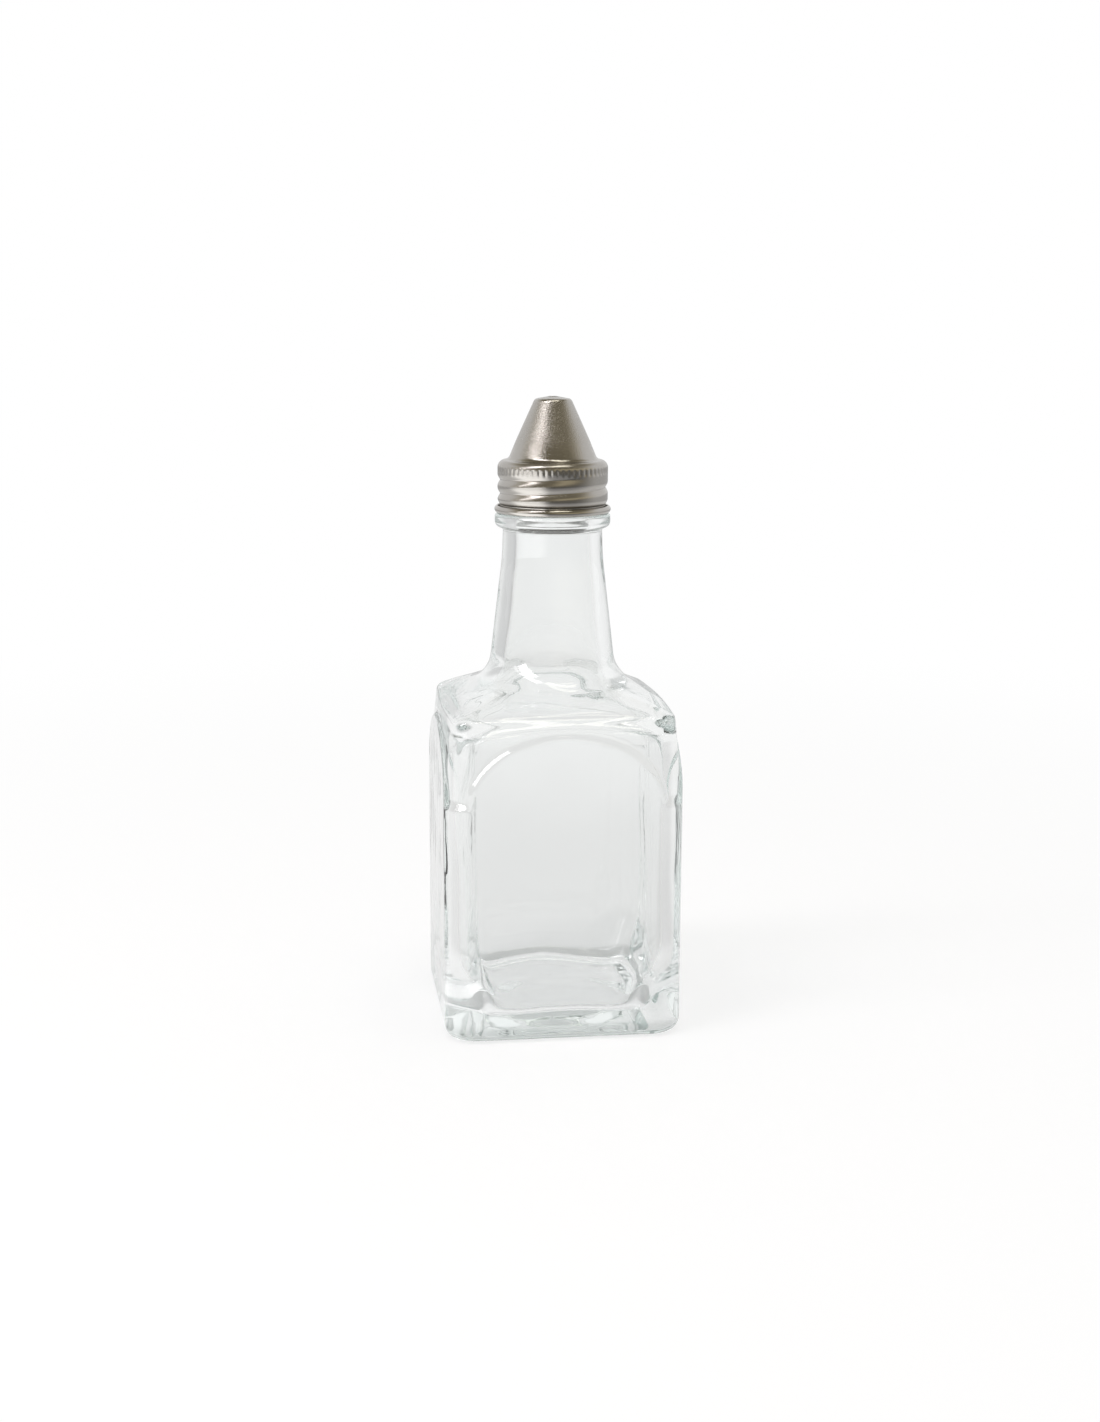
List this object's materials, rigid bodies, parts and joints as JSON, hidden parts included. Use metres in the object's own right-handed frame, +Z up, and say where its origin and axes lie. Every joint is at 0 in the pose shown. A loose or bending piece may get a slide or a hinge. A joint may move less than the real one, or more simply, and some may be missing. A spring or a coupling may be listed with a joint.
{
  "type": "oil and vinegar cruet",
  "caption": "Square clear glass bottle with arched face panels and a round neck, closed by a screw-on pressed steel pouring cap with a conical spout and a soft seal.",
  "frame": {"origin": "middle of the base at the height of the resting band, on the bottle's axis", "axes": "+Z up along the bottle's axis; the square body's faces look along +X, -X, +Y and -Y"},
  "size_m": [0.057, 0.057, 0.1508],
  "materials": {
    "clear_glass": "clear moulded soda-lime glass, fire polished, faint green tinge at the edges",
    "satin_steel": "pressed stainless steel, satin cone, brighter thread and curl",
    "white_rubber": "soft food-grade seal, matte white"
  },
  "bodies": {
    "bottle": {"glass_bottle": "clear_glass"},
    "seal": {"sealing_gasket": "white_rubber"},
    "cap": {"screw_cap": "satin_steel"}
  },
  "joints": [
    {"name": "cap_lift", "type": "slide", "parent": "bottle", "child": "seal", "axis": [0, 0, 1], "range_m": [0, 0.01463]},
    {"name": "cap_turn", "type": "hinge", "parent": "seal", "child": "cap", "pos_m": [0, 0, 0.13], "axis": [0, 0, 1], "range_deg": [0, 1620]}
  ],
  "couplings": [
    {"joint": "cap_lift", "follows": "cap_turn", "m_per_rad": 0.00051725}
  ]
}
